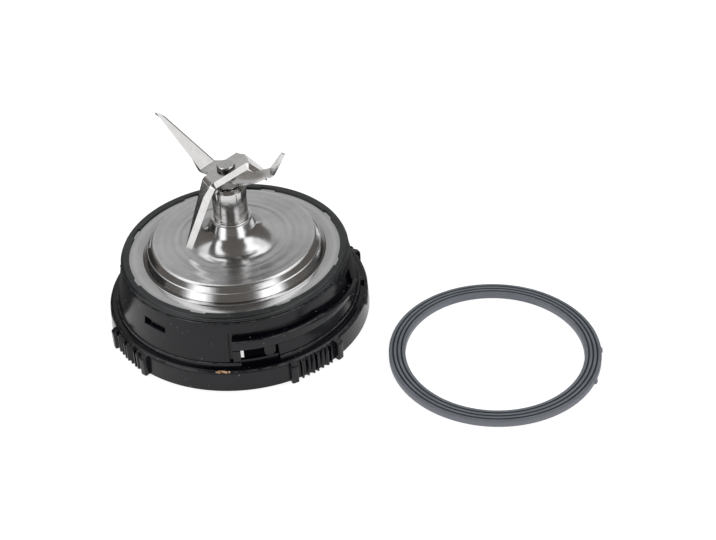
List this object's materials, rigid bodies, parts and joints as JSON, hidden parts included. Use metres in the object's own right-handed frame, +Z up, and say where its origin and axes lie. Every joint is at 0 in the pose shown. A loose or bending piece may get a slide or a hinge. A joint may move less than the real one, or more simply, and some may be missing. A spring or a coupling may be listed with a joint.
{
  "type": "blender blade assembly",
  "caption": "Screw-on blade unit for a blender jug: crossed steel blades on a shaft through a domed plate in a black grip collar, with its loose rubber jug seal beside it.",
  "frame": {"origin": "on the blades' spin axis, in the plane that the grip collar stands on, which is the mouth of the drive socket", "axes": "+Z up along the spin axis towards the blades; +X to the right as the picture shows the unit"},
  "size_m": [0.2016, 0.1367, 0.0871],
  "materials": {
    "body_plastic": "moulded black, satin",
    "rim_plastic": "moulded black, slightly worn",
    "carrier_plastic": "moulded black",
    "coupling_plastic": "moulded black, tough",
    "washer_plastic": "natural low-friction plastic",
    "plate_steel": "spun, satin",
    "blade_steel": "ground",
    "housing_steel": "turned, bright",
    "shaft_steel": "turned",
    "spacer_steel": "turned",
    "fastener_steel": "plated",
    "bush_bronze": "sintered bronze",
    "gasket_rubber": "matt",
    "seal_rubber": "matt slate grey"
  },
  "bodies": {
    "unit": {"grip_collar": "body_plastic", "rim_ring": "rim_plastic", "dome_plate": "plate_steel", "plate_gasket": "gasket_rubber", "blade_carrier": "carrier_plastic", "bearing_housing": "housing_steel", "housing_o_ring": "gasket_rubber", "housing_washer": "fastener_steel", "housing_nut": "fastener_steel", "upper_bush": "bush_bronze", "lower_bush": "bush_bronze", "shaft_seal": "gasket_rubber", "seal_cap": "housing_steel", "jug_seal": "seal_rubber"},
    "rotor": {"drive_shaft": "shaft_steel", "blade_spacer": "spacer_steel", "upper_blade": "blade_steel", "lower_blade": "blade_steel", "retaining_clip": "fastener_steel", "thrust_washer": "washer_plastic", "drive_coupling": "coupling_plastic", "coupling_insert": "bush_bronze", "coupling_washer": "fastener_steel", "coupling_nut": "fastener_steel"}
  },
  "joints": [
    {"name": "blade_spin", "type": "hinge", "parent": "unit", "child": "rotor", "pos_m": [0, 0, 0.04], "axis": [0, 0, 1], "continuous": true}
  ]
}
